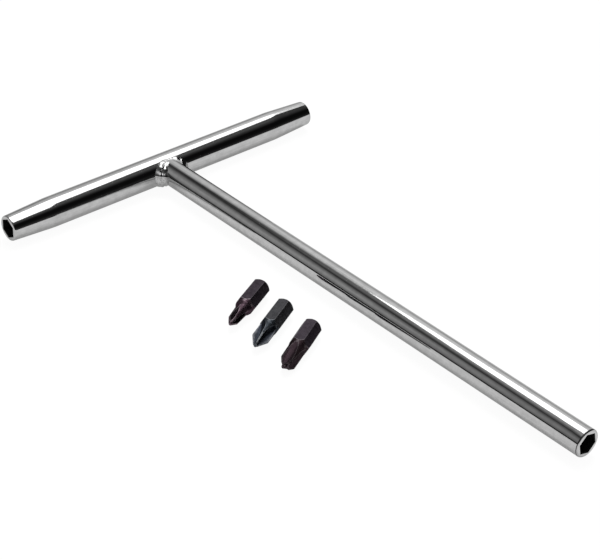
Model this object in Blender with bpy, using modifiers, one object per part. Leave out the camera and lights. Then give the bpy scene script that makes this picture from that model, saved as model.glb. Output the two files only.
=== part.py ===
"""T-handle bit driver with three loose cross-tip bits.

A cross handle and a stem, both of plated steel tube, are welded in a T. The handle's two swaged ends and
the stem's mouth are hex sockets for insert bits, each with a magnet at its bottom. The driver lies flat,
with the handle along X and the stem along -Y, on a surface at Z = 0, and the bits lie beside the stem.
"""

import math

import bmesh
import bpy
from mathutils import Matrix, Vector

MM = 0.001

# Cross handle: a tube with both ends swaged down over a hex mandrel
HANDLE_LENGTH = 140.0 * MM
HANDLE_DIAMETER = 11.5 * MM
HANDLE_WALL = 1.6 * MM
SWAGE_LENGTH = 17.6 * MM
SWAGE_CORNER_WALL = 1.08 * MM  # left outside the hex corners, at the mouth
SWAGE_BLEND = 3.0 * MM  # how far the taper's rounded start reaches to each side
BORE_FLARE = 3.0 * MM  # length over which the bore opens out behind the hex

# Stem: a thicker tube, coped to sit on the handle and broached to a hex at its mouth
STEM_REACH = 214.5 * MM  # from the handle's axis to the mouth
STEM_CORNER_WALL = 1.18 * MM  # left outside the hex corners
STEM_BORE_STEP = 0.125 * MM  # how far the hex flats lie outside the round bore: the shoulder that stops a bit

# Hex sockets, the same in all three mouths
BIT_ACROSS_FLATS = 6.3 * MM
SOCKET_CLEARANCE = 0.15 * MM  # across the flats
SOCKET_DEPTH = 14.6 * MM
MOUTH_CHAMFER = 0.15 * MM
RIM_RADIUS = 0.6 * MM  # rounded outer edge of each mouth
STEM_HEX_TURN = math.radians(13)  # a flat's angle about the socket's axis
HANDLE_HEX_TURN = math.radians(27)

# Magnets, and the plugs behind them in the handle
MAGNET_THICKNESS = 2.8 * MM
MAGNET_EDGE = 0.3 * MM
PLUG_LENGTH = 6.0 * MM
PLUG_EDGE = 0.5 * MM

# Weld bead round the foot of the stem
WELD_ON_HANDLE = 3.0 * MM  # reach along the handle, at the sides of the stem
WELD_LEFT_SHARE = 0.28  # how much further it reaches on the left than on the right
WELD_ON_STEM = 1.9 * MM
WELD_BELOW_SHARE = 0.35  # how much further it reaches along the stem's underside than along its top
WELD_CROWN = 0.36 * MM  # how far the bead bulges over a flat fillet
WELD_FLAT_SHARE = 0.4  # how much flatter it is over and under the stem than at its sides
WELD_RIPPLE = 0.14 * MM
WELD_RIPPLES = 11
POINTS_PER_RIPPLE = 8
WELD_CREST_SHARE = 0.42  # how far towards the handle's crest the bead's toe climbs over and under the stem

# Insert bits, all of the same hex bar. "rear" is where a bit's back end lies, from the T's centre.
# Lengths are measured back from the nose, and "flute_lean" is the valley's rise over its length.
BIT_LENGTH = 25.0 * MM
BIT_REAR_CHAMFER = 1.0 * MM
REAR_SLOPE = 0.75  # of the rear chamfer, rise over length
SCALLOP_SLOPE = 0.58  # of the cone that ends the hex, rise over length
SHOULDER_CUT = 0.05 * MM  # how far the turned shoulder lies under the hex flats
VALLEY_ROUND = 0.35 * MM
BITS = {
    "cross_bit_small": {
        "rear": (-20.36 * MM, -83.17 * MM),
        "yaw": math.radians(-154.3),
        "turned_length": 11.6 * MM,
        "shoulder_length": 0.6 * MM,
        "neck_length": 2.0 * MM,
        "blade_radius": 2.35 * MM,
        "front_radius": 1.95 * MM,
        "tip_length": 2.8 * MM,
        "tip_radius": 0.55 * MM,
        "web_radius": 0.7 * MM,
        "flute_lean": 0.12,
        "flute_straight": 4.0 * MM,
        "flute_length": 9.4 * MM,
        "wing_turn": math.radians(54),
        "nose_radius": 0.5 * MM,
        "nose_length": 0.1 * MM,
    },
    "cross_bit_medium": {
        "rear": (-21.61 * MM, -97.38 * MM),
        "yaw": math.radians(-153.2),
        "turned_length": 11.4 * MM,
        "shoulder_length": 0.7 * MM,
        "neck_length": 0.7 * MM,
        "blade_radius": 2.95 * MM,
        "front_radius": 2.95 * MM,
        "tip_length": 4.2 * MM,
        "tip_radius": 0.85 * MM,
        "web_radius": 0.62 * MM,
        "flute_lean": 0.035,
        "flute_straight": 3.0 * MM,
        "flute_length": 10.8 * MM,
        "wing_turn": math.radians(73),
        "nose_radius": 0.75 * MM,
        "nose_length": 0.1 * MM,
    },
    "cross_bit_large": {
        "rear": (-22.05 * MM, -112.29 * MM),
        "yaw": math.radians(-152.2),
        "turned_length": 11.9 * MM,
        "shoulder_length": 0.9 * MM,
        "neck_length": 0.7 * MM,
        "blade_radius": 3.0 * MM,
        "front_radius": 3.0 * MM,
        "tip_length": 2.8 * MM,
        "tip_radius": 1.8 * MM,
        "web_radius": 1.1 * MM,
        "flute_lean": 0.16,
        "flute_straight": 4.0 * MM,
        "flute_length": 11.3 * MM,
        "wing_turn": math.radians(47),
        "nose_radius": 0.62 * MM,
        "nose_length": 0.9 * MM,
    },
}

# Fits and mesh fineness
SEAT_GAP = 0.3 * MM  # between pieces that seat on each other
TUBE_STEPS = 48
DISC_STEPS = 24
BIT_STEPS = 36
ARC_STEPS = 4
NECK_STEPS = 5
FLUTE_STEPS = 5
MERGE = 0.001 * MM

# Sizes that follow
BIT_APOTHEM = BIT_ACROSS_FLATS / 2
BIT_CORNER = BIT_APOTHEM / math.cos(math.pi / 6)
HEX_APOTHEM = (BIT_ACROSS_FLATS + SOCKET_CLEARANCE) / 2
HEX_CORNER = HEX_APOTHEM / math.cos(math.pi / 6)
HANDLE_RADIUS = HANDLE_DIAMETER / 2
HANDLE_BORE = HANDLE_RADIUS - HANDLE_WALL
SWAGE_RADIUS = HEX_CORNER + SWAGE_CORNER_WALL
STEM_RADIUS = HEX_CORNER + STEM_CORNER_WALL
STEM_BORE = HEX_APOTHEM - STEM_BORE_STEP
MAGNET_RADIUS = STEM_BORE - SEAT_GAP
CENTRE = Vector((0.0, (STEM_REACH - HANDLE_RADIUS) / 2, HANDLE_RADIUS))  # where the two axes cross

# Turns that lay a piece's local +Z along one of the T's arms
TO_RIGHT = Matrix.Rotation(math.pi / 2, 4, "Y")
TO_LEFT = Matrix.Rotation(math.pi, 4, "Z") @ TO_RIGHT
TO_STEM = Matrix.Rotation(math.pi / 2, 4, "X")


def clear_scene():
    for old in list(bpy.data.objects):
        bpy.data.objects.remove(old, do_unlink=True)


def new_collection(name):
    made = bpy.data.collections.new(name)
    bpy.context.scene.collection.children.link(made)
    return made


def material(name, colour, roughness, metallic):
    made = bpy.data.materials.new(name)
    made.use_nodes = True
    shader = made.node_tree.nodes["Principled BSDF"]
    shader.inputs["Base Color"].default_value = (*colour, 1.0)
    shader.inputs["Roughness"].default_value = roughness
    shader.inputs["Metallic"].default_value = metallic
    return made


def add_object(name, data, collection, surface=None):
    made = bpy.data.objects.new(name, data)
    collection.objects.link(made)
    if surface:
        data.materials.append(surface)
    return made


def as_cutter(tool):
    tool.hide_render = True
    tool.display_type = "WIRE"
    return tool


def cut(piece, tool, operation="DIFFERENCE"):
    boolean = piece.modifiers.new(tool.name, "BOOLEAN")
    boolean.operation = operation
    boolean.solver = "EXACT"
    boolean.object = tool


def place(piece, parent, turn):
    piece.parent = parent
    piece.matrix_local = turn


def arc(centre, radius, start, end):
    """Points of a round stretch of a profile, from one angle to another, in degrees."""
    angles = [math.radians(start + (end - start) * i / ARC_STEPS) for i in range(ARC_STEPS + 1)]
    return [(centre[0] + radius * math.cos(a), centre[1] + radius * math.sin(a)) for a in angles]


def turned(name, profile, steps, collection, surface=None, closed=True):
    """A piece turned round local Z from (radius, height) points that run down its outer side."""
    mesh = bpy.data.meshes.new(name)
    count = len(profile)
    edges = [(i, (i + 1) % count) for i in range(count if closed else count - 1)]
    mesh.from_pydata([(r, 0.0, z) for r, z in profile], edges, [])
    piece = add_object(name, mesh, collection, surface)
    screw = piece.modifiers.new("turn", "SCREW")
    screw.axis = "Z"
    screw.steps = steps
    screw.render_steps = steps
    screw.use_merge_vertices = True
    screw.merge_threshold = MERGE
    screw.use_smooth_shade = True
    return piece


def rod(name, radius, bottom, top, steps, collection, surface=None):
    """A plain round or polygonal bar along local Z. A bar of six sides has a flat towards local +X."""
    mesh = bpy.data.meshes.new(name)
    bm = bmesh.new()
    bmesh.ops.create_cone(
        bm,
        cap_ends=True,
        segments=steps,
        radius1=radius,
        radius2=radius,
        depth=top - bottom,
        matrix=Matrix.Translation((0, 0, (top + bottom) / 2)),
    )
    bm.to_mesh(mesh)
    bm.free()
    return add_object(name, mesh, collection, surface)


def disc(name, radius, face, thickness, edge, collection, surface):
    """A short round piece below a height, with broken edges."""
    piece = rod(name, radius, face - thickness, face, DISC_STEPS, collection, surface)
    bevel = piece.modifiers.new("edge", "BEVEL")
    bevel.width = edge
    bevel.segments = 1
    bevel.limit_method = "ANGLE"
    shade_round(piece)
    return piece


def shade_round(piece):
    piece.data.shade_smooth()
    piece.data.set_sharp_from_angle(angle=math.radians(30))


def mouth(outer_radius, height):
    """Profile of a socket's end: up the lead-in chamfer, over the end face and round the outer rim."""
    rim = (outer_radius - RIM_RADIUS, height - RIM_RADIUS)
    lead = HEX_APOTHEM + MOUTH_CHAMFER
    return [(STEM_BORE, height - (lead - STEM_BORE)), (lead, height), *arc(rim, RIM_RADIUS, 90, 0)]


def hex_cutter(name, turn, near, far, parent, cutters):
    bar = as_cutter(rod(name, HEX_CORNER, near, far, 6, cutters))
    place(bar, parent, turn)
    return bar


def make_magnet(name, face, parts, surfaces):
    return disc(name, MAGNET_RADIUS, face, MAGNET_THICKNESS, MAGNET_EDGE, parts, surfaces["magnet"])


def make_plug(name, face, parts, surfaces):
    return disc(name, HANDLE_BORE - SEAT_GAP, face, PLUG_LENGTH, PLUG_EDGE, parts, surfaces["steel"])


def swaged_half():
    """Profile of one half of the handle: out along the bore, round the mouth and back down the taper."""
    end = HANDLE_LENGTH / 2
    hex_end = end - SOCKET_DEPTH
    taper = end - SWAGE_LENGTH
    slope = (HANDLE_RADIUS - SWAGE_RADIUS) / SWAGE_LENGTH
    blend = [
        (HANDLE_RADIUS - slope * SWAGE_BLEND * share ** 2, taper + SWAGE_BLEND * (2 * share - 1))
        for share in (1.0, 0.75, 0.5, 0.25, 0.0)
    ]
    bore = [
        (HANDLE_BORE, hex_end - BORE_FLARE),
        (HEX_CORNER + SEAT_GAP, hex_end),
        (STEM_BORE, hex_end),
    ]
    return bore + mouth(SWAGE_RADIUS, end) + blend


def make_handle(parent, parts, cutters, surfaces):
    half = swaged_half()
    other_half = [(r, -z) for r, z in reversed(half)]
    tube = turned("handle_tube", half + other_half, TUBE_STEPS, parts, surfaces["chrome"])
    place(tube, parent, TO_RIGHT)

    end = HANDLE_LENGTH / 2
    hex_end = end - SOCKET_DEPTH
    magnet_face = hex_end - SEAT_GAP
    plug_face = min(magnet_face - MAGNET_THICKNESS, hex_end - BORE_FLARE) - SEAT_GAP
    for name, turn in (("left", TO_LEFT), ("right", TO_RIGHT)):
        hex_turn = turn @ Matrix.Rotation(HANDLE_HEX_TURN, 4, "Z")
        cut(tube, hex_cutter(f"{name}_hex", hex_turn, magnet_face, end + SOCKET_DEPTH, parent, cutters))
        magnet = make_magnet(f"{name}_magnet", magnet_face, parts, surfaces)
        place(magnet, parent, turn)
        plug = make_plug(f"{name}_stop_plug", plug_face, parts, surfaces)
        place(plug, parent, turn)


def make_stem(parent, parts, cutters, surfaces):
    profile = [(STEM_BORE, 0.0), *mouth(STEM_RADIUS, STEM_REACH), (STEM_RADIUS, 0.0)]
    tube = turned("stem_tube", profile, TUBE_STEPS, parts, surfaces["chrome"])
    place(tube, parent, TO_STEM)

    hex_end = STEM_REACH - SOCKET_DEPTH
    hex_turn = TO_STEM @ Matrix.Rotation(STEM_HEX_TURN, 4, "Z")
    cut(tube, hex_cutter("stem_hex", hex_turn, hex_end, STEM_REACH + SOCKET_DEPTH, parent, cutters))
    reach = HANDLE_DIAMETER + STEM_RADIUS
    saddle = as_cutter(rod("saddle", HANDLE_RADIUS + SEAT_GAP, -reach, reach, TUBE_STEPS, cutters))
    place(saddle, parent, TO_RIGHT)
    cut(tube, saddle)

    magnet = make_magnet("stem_magnet", hex_end - SEAT_GAP, parts, surfaces)
    place(magnet, parent, TO_STEM)


def weld_section(around, ripple):
    """Outline of the bead at one angle about the stem, from its root along the handle and over its crown."""
    on_handle = HANDLE_RADIUS + SEAT_GAP
    on_stem = STEM_RADIUS + SEAT_GAP
    side = math.cos(around)
    rise = math.sin(around)
    along_handle = WELD_ON_HANDLE * (1 - WELD_LEFT_SHARE * side * abs(side)) + ripple
    along_stem = WELD_ON_STEM * (1 - WELD_BELOW_SHARE * rise) + ripple
    crown = WELD_CROWN * (1 - WELD_FLAT_SHARE * rise * rise) + ripple
    root_angle = math.asin(max(-1.0, min(1.0, on_stem * rise / on_handle)))
    crest_angle = math.asin(HANDLE_RADIUS / on_handle)
    climb = WELD_CREST_SHARE * (crest_angle * rise - root_angle * abs(rise))

    def handle_point(share):
        turn = root_angle + share * climb
        along = (on_stem + share * along_handle) * side
        return Vector((along, -on_handle * math.cos(turn), on_handle * math.sin(turn)))

    root = handle_point(0.0)
    foot = handle_point(0.5)
    toe = handle_point(1.0)
    stem_toe = root - Vector((0.0, along_stem, 0.0))
    chord = stem_toe - toe
    spoke = Vector((side, 0.0, rise))
    outward = (spoke - spoke.project(chord)).normalized()
    bulge = [toe + chord * t + outward * crown * 4 * t * (1 - t) for t in (0.25, 0.5, 0.75)]
    return [root, foot, toe, *bulge, stem_toe]


def make_weld(parent, parts, surface):
    """A rippled fillet, lofted through its sections round the saddle where the stem sits on the handle."""
    count = WELD_RIPPLES * POINTS_PER_RIPPLE
    bm = bmesh.new()
    rings = []
    for i in range(count):
        around = 2 * math.pi * i / count
        ripple = WELD_RIPPLE * math.cos(WELD_RIPPLES * around)
        rings.append([bm.verts.new(point) for point in weld_section(around, ripple)])
    for ring, following in zip(rings, rings[1:] + rings[:1]):
        for k in range(len(ring)):
            after = (k + 1) % len(ring)
            bm.faces.new((ring[k], following[k], following[after], ring[after]))
    bmesh.ops.recalc_face_normals(bm, faces=bm.faces)
    mesh = bpy.data.meshes.new("weld_bead")
    bm.to_mesh(mesh)
    bm.free()
    bead = add_object("weld_bead", mesh, parts, surface)
    place(bead, parent, Matrix.Identity(4))
    shade_round(bead)


def bit_outline(sizes):
    """Turned outline of a bit as (radius, height), from its nose over tip, blade and shoulder to its rear."""
    clear = BIT_CORNER + SEAT_GAP
    face = BIT_LENGTH - sizes["nose_length"]
    shank = BIT_LENGTH - sizes["turned_length"]
    shoulder = BIT_APOTHEM - SHOULDER_CUT
    blade = sizes["blade_radius"]
    neck = shank + sizes["shoulder_length"]
    shares = [i / NECK_STEPS for i in range(NECK_STEPS, -1, -1)]
    neck_curve = [
        (shoulder + (blade - shoulder) * share ** 2 * (3 - 2 * share), neck + sizes["neck_length"] * share)
        for share in shares
    ]
    rear = BIT_CORNER - REAR_SLOPE * BIT_REAR_CHAMFER
    return [
        (0.0, BIT_LENGTH),
        (sizes["nose_radius"], BIT_LENGTH),
        (sizes["nose_radius"], face),
        (sizes["tip_radius"], face),
        (sizes["front_radius"], BIT_LENGTH - sizes["tip_length"]),
        *neck_curve,
        (shoulder, shank),
        (clear, shank - (clear - shoulder) / SCALLOP_SLOPE),
        (clear, (clear - rear) / REAR_SLOPE),
        (rear, 0.0),
        (0.0, 0.0),
    ]


def valley(sizes, from_nose):
    """Distance of a flute's valley from the bit's axis. It rises in a round run-out towards the shoulder."""
    web = sizes["web_radius"]
    lean = sizes["flute_lean"]
    rise = BIT_APOTHEM - SHOULDER_CUT - web - lean * sizes["flute_length"]
    past = max(0.0, from_nose - sizes["flute_straight"])
    share = past / (sizes["flute_length"] - sizes["flute_straight"])
    return web + lean * from_nose + rise * share ** 2


def flute_section():
    """Section of a milling bar as (out, across): a right-angled edge with a rounded crest, at the origin."""
    reach = BIT_ACROSS_FLATS
    across = [-reach, *(VALLEY_ROUND * step for step in (-4, -1.5, -0.5, 0.5, 1.5, 4)), reach]
    edge = [(math.hypot(y, VALLEY_ROUND) - VALLEY_ROUND, y) for y in across]
    return [*edge, (2 * reach, reach), (2 * reach, -reach)]


def flute_cutter(name, sizes, cutters):
    """Four bars, each with an edge towards the bit's axis, that mill the flutes between the wings."""
    run_out = sizes["flute_length"] - sizes["flute_straight"]
    shares = [i / FLUTE_STEPS for i in range(1, FLUTE_STEPS + 2)]
    stations = [-SEAT_GAP, sizes["flute_straight"], *(sizes["flute_straight"] + run_out * s for s in shares)]
    mesh = bpy.data.meshes.new(name)
    bm = bmesh.new()
    for quarter in range(4):
        turn = Matrix.Rotation(sizes["wing_turn"] + math.pi / 4 + quarter * math.pi / 2, 4, "Z")
        rings = []
        for from_nose in stations:
            out = valley(sizes, from_nose)
            height = BIT_LENGTH - from_nose
            ring = [turn @ Vector((out + x, y, height)) for x, y in flute_section()]
            rings.append([bm.verts.new(point) for point in ring])
        for ring, following in zip(rings, rings[1:]):
            for k in range(len(ring)):
                after = (k + 1) % len(ring)
                bm.faces.new((ring[k], ring[after], following[after], following[k]))
        bm.faces.new(rings[0])
        bm.faces.new(rings[-1])
    bmesh.ops.recalc_face_normals(bm, faces=bm.faces)
    bm.to_mesh(mesh)
    bm.free()
    return as_cutter(add_object(name, mesh, cutters))


def make_bit(name, sizes, parent, parts, cutters, surface):
    """A hex bar, turned down to its shoulder, blade and tip, with four flutes that leave a cross of wings."""
    bit = rod(name, BIT_CORNER, 0.0, BIT_LENGTH, 6, parts, surface)
    turning = as_cutter(turned(f"{name}_turning", bit_outline(sizes), BIT_STEPS, cutters, closed=False))
    flutes = flute_cutter(f"{name}_flutes", sizes, cutters)
    cut(bit, turning, "INTERSECT")
    cut(bit, flutes)
    lies_at = Matrix.Translation((*sizes["rear"], BIT_APOTHEM - HANDLE_RADIUS))
    for piece in (bit, turning, flutes):
        place(piece, parent, lies_at @ Matrix.Rotation(sizes["yaw"], 4, "Z") @ TO_RIGHT)


def build():
    clear_scene()
    parts = new_collection("t_handle_bit_driver")
    cutters = new_collection("cutters")
    surfaces = {
        "chrome": material("chrome", (0.78, 0.78, 0.78), 0.08, 1.0),
        "weld": material("weld", (0.72, 0.72, 0.72), 0.2, 1.0),
        "magnet": material("magnet", (0.6, 0.6, 0.58), 0.3, 1.0),
        "steel": material("steel", (0.4, 0.4, 0.4), 0.45, 1.0),
        "black_oxide": material("black_oxide", (0.03, 0.026, 0.03), 0.4, 0.7),
    }
    driver = add_object("driver_centre", None, parts)
    driver.location = CENTRE

    make_handle(driver, parts, cutters, surfaces)
    make_stem(driver, parts, cutters, surfaces)
    make_weld(driver, parts, surfaces["weld"])
    for name, sizes in BITS.items():
        make_bit(name, sizes, driver, parts, cutters, surfaces["black_oxide"])


build()
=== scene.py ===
"""Looks of the t-handle bit driver: plated tubes, a welded joint and three blackened bits in a small studio.

Each plated or blackened piece is a finer mesh that stands for its CAD node, in the same place and of the same
size. Lengths are in metres, in the frame's axes: the handle lies along X and the stem along -Y.
"""

import math

import bmesh
import bpy
from mathutils import Matrix, Vector, noise


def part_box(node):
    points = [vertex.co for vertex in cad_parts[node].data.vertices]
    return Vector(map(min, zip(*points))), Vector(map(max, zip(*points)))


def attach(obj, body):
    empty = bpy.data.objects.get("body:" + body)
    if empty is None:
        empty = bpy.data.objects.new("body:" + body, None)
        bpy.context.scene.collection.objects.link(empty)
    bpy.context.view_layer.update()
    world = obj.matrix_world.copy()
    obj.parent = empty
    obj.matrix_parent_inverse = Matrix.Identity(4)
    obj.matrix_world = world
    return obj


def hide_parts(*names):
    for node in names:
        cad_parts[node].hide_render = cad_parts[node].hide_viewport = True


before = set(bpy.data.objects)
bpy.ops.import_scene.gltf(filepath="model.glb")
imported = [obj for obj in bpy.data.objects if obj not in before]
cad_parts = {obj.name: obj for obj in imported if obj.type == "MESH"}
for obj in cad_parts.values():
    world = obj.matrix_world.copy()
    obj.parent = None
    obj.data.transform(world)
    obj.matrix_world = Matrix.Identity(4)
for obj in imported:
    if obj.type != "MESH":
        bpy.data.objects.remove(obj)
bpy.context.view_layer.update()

MM = 0.001

# Sizes read from the frame
HANDLE_LOW, HANDLE_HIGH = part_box("handle_tube")
STEM_LOW, STEM_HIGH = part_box("stem_tube")
CENTRE = (HANDLE_LOW + HANDLE_HIGH) / 2
HANDLE_RADIUS = (HANDLE_HIGH.z - HANDLE_LOW.z) / 2
HALF_HANDLE = (HANDLE_HIGH.x - HANDLE_LOW.x) / 2
STEM_RADIUS = (STEM_HIGH.x - STEM_LOW.x) / 2
STEM_REACH = CENTRE.y - STEM_LOW.y
BIT_ACROSS_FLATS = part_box("cross_bit_small")[1].z

# Tubes
HANDLE_WALL = 1.6 * MM
HANDLE_BORE = HANDLE_RADIUS - HANDLE_WALL
SWAGE_LENGTH = 17.6 * MM
SWAGE_RADIUS = 4.804 * MM  # at the mouth
SWAGE_BLEND = 1.4 * MM  # half of the length in which the taper sets in
STEM_RIM = 0.55 * MM  # radius of the rounded edge of a mouth
HANDLE_RIM = 0.4 * MM
MOUTH_CHAMFER = 0.22 * MM
SOCKET_DEPTH = 14.6 * MM
SOCKET_CLEARANCE = 0.15 * MM
HEX_APOTHEM = (BIT_ACROSS_FLATS + SOCKET_CLEARANCE) / 2
HEX_CORNER = HEX_APOTHEM / math.cos(math.pi / 6)
STEM_BORE_STEP = 0.125 * MM  # of the shoulder that stops a bit in the stem
STEM_BORE = HEX_APOTHEM - STEM_BORE_STEP
BORE_FLARE = 3.0 * MM
SEAT_GAP = 0.3 * MM
STEM_HEX_TURN = math.radians(13)
HANDLE_HEX_TURN = math.radians(27)
TUBE_STEPS = 180
TUBE_START = math.radians(1)  # angle of a ring's first point
TAPER_STEPS = 150
BODY_STEPS = 24
STEM_STEPS = 60
ARC_STEPS = 8
EDGE_STEPS = 3  # of the rim's arc that is painted dark as a reflection
TUBE_SHARP_ANGLE = math.radians(28)
# Of these surfaces, the bore is painted near black as shade, the rim's outer corner is painted dark as a
# reflection, and the end face is a brighter copy of the plate, a painted highlight.
PLATE, BORE, DARK_RIM_BAND, END_FACE = range(4)  # the surfaces of a tube

# Marks of the swaging hammers on the handle's tapers
MARK_HEIGHT = 0.0022 * MM
MARK_PITCH = 0.62 * MM
MARK_FADE = 5 * MM
MARK_REACH = 12 * MM
MARK_WANDER = 1.4  # height of the uneven marks over that of the even ones
MARK_WANDER_LENGTH = 1.3 * MM
MARK_SIDE_STEP = 7.0  # between the two ends' places in the noise

# Turns that lay a piece's local +Z along one of the T's arms
TO_RIGHT = Matrix.Rotation(math.pi / 2, 4, "Y")
TO_STEM = Matrix.Rotation(math.pi / 2, 4, "X")

# Weld bead round the stem's foot: how far it reaches along each tube, and its lumps
WELD_ON_HANDLE = 3.2 * MM
WELD_LEFT_SHARE = 0.18  # how much further it reaches on the left than on the right
WELD_ON_STEM = 2.9 * MM
WELD_TOP_SHARE = 0.3  # how much less it reaches along the stem's top and underside than along its sides
WELD_SINK = 0.12 * MM  # how far the bead's edges lie under the tubes' skin
WELD_CREST_SHARE = 0.42
WELD_CROWN = 0.56 * MM  # of the raised bead on the left
WELD_RAISED_FROM = 0.05  # where the bead starts to rise, as a share of the way to the left
WELD_RAISED_OVER = 0.6
WELD_HOLLOW = 0.16 * MM  # of the fillet on the other sides
WELD_CREASE = 0.3 * MM  # between the two runs of the bead on the left
WELD_CREASE_PLACE = 0.58  # as a share of the way from the handle to the stem
WELD_CREASE_WANDER = 0.18
WELD_CREASE_WIDTH = 0.1
WELD_CREASE_UNEVEN = 0.8
WELD_RIPPLE = 0.17 * MM
WELD_RIPPLES = 11
WELD_RIPPLE_WANDER = 0.3
WELD_RIPPLE_LEAST = 0.3  # share of the ripple on the flat sides, and what the raised bead adds to it
WELD_RIPPLE_RAISED = 0.5
WELD_LUMP_SHARE = 1.6  # height of the uneven lumps over that of the ripple
WELD_DIMPLE = 0.05 * MM  # of the small lumps all over it
WELD_DIMPLE_SCALE = 8.0
WELD_DIMPLE_RUN = 5.0
WELD_WANDER_NOISE = (1.7, 4.0)  # scale round the stem, and layer of the noise
WELD_LUMP_NOISE = (4.0, 9.0)
WELD_CREASE_NOISE = (5.0, 2.0)
WELD_STEPS = 300
WELD_ARC_STEPS = 28

# Insert bits: where each lies, measured from the T's centre to its rear end, and its turned and milled sizes.
# Lengths are measured back from the nose.
BIT_LENGTH = 25.0 * MM
BIT_APOTHEM = BIT_ACROSS_FLATS / 2
BIT_CORNER = BIT_APOTHEM / math.cos(math.pi / 6)
BIT_REAR_CHAMFER = 1.0 * MM
BIT_REAR_SLOPE = 0.75  # of the rear chamfer, fall over length
SHOULDER_CUT = 0.05 * MM
SCALLOP_SLOPE = 0.58  # of the cone that ends the hex, rise over length
NOSE_STEP = 0.02 * MM  # half the length of the step behind the nose
FLUTE_STEPS = 32  # points across a flute, and across a wing
WING_STEPS = 28
EVEN_STEP = math.radians(1.5)  # between points that are evenly spread
EVEN_HALF_WIDTH = math.radians(24)  # of a flute that leaves the points evenly spread
LEAST_HALF_WIDTH = math.radians(0.15)
LEAST_OPENING = 0.02  # keeps a flute's flank from running off to infinity
HALVINGS = 24  # in the search for a flute's edge
FINE_STEP = 0.1 * MM
COARSE_STEP = 1.0 * MM
COARSE_FROM = 1.2 * MM  # the plain part of the shank, from the rear face and short of the turned part
COARSE_MARGIN = 2.2 * MM
WEAR_AND_GLINT_WIDTH = 0.16 * MM  # of the bright line on an edge, partly wear and partly a painted highlight
# These shares and widths draw the bits' bright edges, partly wear and partly a painted highlight.
SCALLOP_WEAR_AND_GLINT_SPREAD = 1.5
CORNER_WEAR_AND_GLINT = 0.35
NOSE_FREE_OF_WEAR_AND_GLINT = 4 * WEAR_AND_GLINT_WIDTH
BIT_SHARP_ANGLE = math.radians(40)
SHANK_ROUGHNESS = 0.30
BITS = {
    "small": {
        "rear": (-20.36 * MM, -83.17 * MM),
        "yaw": math.radians(-154.3),
        "turned_length": 11.6 * MM,
        "shoulder_length": 0.6 * MM,
        "neck_length": 2.0 * MM,
        "blade_radius": 2.35 * MM,
        "front_radius": 1.95 * MM,
        "tip_length": 2.8 * MM,
        "tip_radius": 0.55 * MM,
        "web_radius": 0.7 * MM,
        "flute_lean": 0.12,
        "flute_straight": 4.0 * MM,
        "flute_length": 9.4 * MM,
        "groove_spread": 0.82,  # how fast a flute's flanks close up, and how flat its floor is
        "groove_power": 1.2,
        "wing_turn": math.radians(54),
        "nose_radius": 0.5 * MM,
        "nose_length": 0.1 * MM,
        "slot": "black_oxide_plum",
        "shank": (0.0550, 0.0462, 0.0556),
        "turned": (0.084, 0.055, 0.070),
        # Darker than the turned blade: painted shade in the flutes.
        "milled": (0.010, 0.007, 0.009),
        "turned_roughness": 0.36,
        "turned_metal": 0.93,
        "milled_roughness": 0.38,
        "scallop_wear_and_glint": 1.0,
        "flute_wear_and_glint": 0.85,
        "wing_wear_and_glint": 0.45,  # of the wings' tops at the tip
    },
    "medium": {
        "rear": (-21.61 * MM, -97.38 * MM),
        "yaw": math.radians(-153.2),
        "turned_length": 11.4 * MM,
        "shoulder_length": 0.7 * MM,
        "neck_length": 0.7 * MM,
        "blade_radius": 2.95 * MM,
        "front_radius": 2.95 * MM,
        "tip_length": 4.2 * MM,
        "tip_radius": 0.85 * MM,
        "web_radius": 0.62 * MM,
        "flute_lean": 0.035,
        "flute_straight": 3.0 * MM,
        "flute_length": 10.8 * MM,
        "groove_spread": 2.1,
        "groove_power": 3.0,
        "wing_turn": math.radians(73),
        "nose_radius": 0.75 * MM,
        "nose_length": 0.1 * MM,
        "slot": "black_oxide_blue",
        "shank": (0.0620, 0.0620, 0.0665),
        "turned": (0.046, 0.053, 0.062),
        # Darker than the turned blade: painted shade in the flutes.
        "milled": (0.026, 0.030, 0.040),
        "turned_roughness": 0.34,
        "turned_metal": 0.88,
        "milled_roughness": 0.34,
        "scallop_wear_and_glint": 0.7,
        "flute_wear_and_glint": 1.0,
        "wing_wear_and_glint": 0.9,
    },
    "large": {
        "rear": (-22.05 * MM, -112.29 * MM),
        "yaw": math.radians(-152.2),
        "turned_length": 11.9 * MM,
        "shoulder_length": 0.9 * MM,
        "neck_length": 0.7 * MM,
        "blade_radius": 3.0 * MM,
        "front_radius": 3.0 * MM,
        "tip_length": 2.8 * MM,
        "tip_radius": 1.8 * MM,
        "web_radius": 1.1 * MM,
        "flute_lean": 0.16,
        "flute_straight": 4.0 * MM,
        "flute_length": 11.3 * MM,
        "groove_spread": 1.1,
        "groove_power": 3.5,
        "wing_turn": math.radians(47),
        "nose_radius": 0.62 * MM,
        "nose_length": 0.9 * MM,
        "slot": "black_oxide_brown",
        "shank": (0.0550, 0.0468, 0.0560),
        "turned": (0.040, 0.026, 0.031),
        "milled": (0.037, 0.024, 0.030),
        "turned_roughness": 0.46,
        "turned_metal": 0.85,
        "milled_roughness": 0.46,
        "scallop_wear_and_glint": 0.55,
        "flute_wear_and_glint": 0.5,
        "wing_wear_and_glint": 0.1,
    },
}

# Heights of the materials' fine relief
DRAWN_LINES = 0.0028 * MM
PLATE_WAVES = 0.02 * MM
WELD_PITS = 0.008 * MM
WELD_LUMPS = 0.06 * MM
LATHE_LINES = 0.006 * MM
SHANK_GRAIN = 0.006 * MM
BLADE_GRAIN = 0.002 * MM
EVENLY = (1.0, 1.0, 1.0)  # stretch of a noise that runs no way in particular

# Camera, set at the photograph's point of view
CAMERA_PLACE = (-0.33232, -0.45944, 0.32815)  # from the T's centre
CAMERA_AZIMUTH = math.radians(-41.23)
CAMERA_ELEVATION = math.radians(33.85)
CAMERA_ROLL = math.radians(-1.24)
FOCAL_SHARE = 1703.2 / 600  # focal length over the picture's width
SENSOR_WIDTH = 36.0

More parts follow.
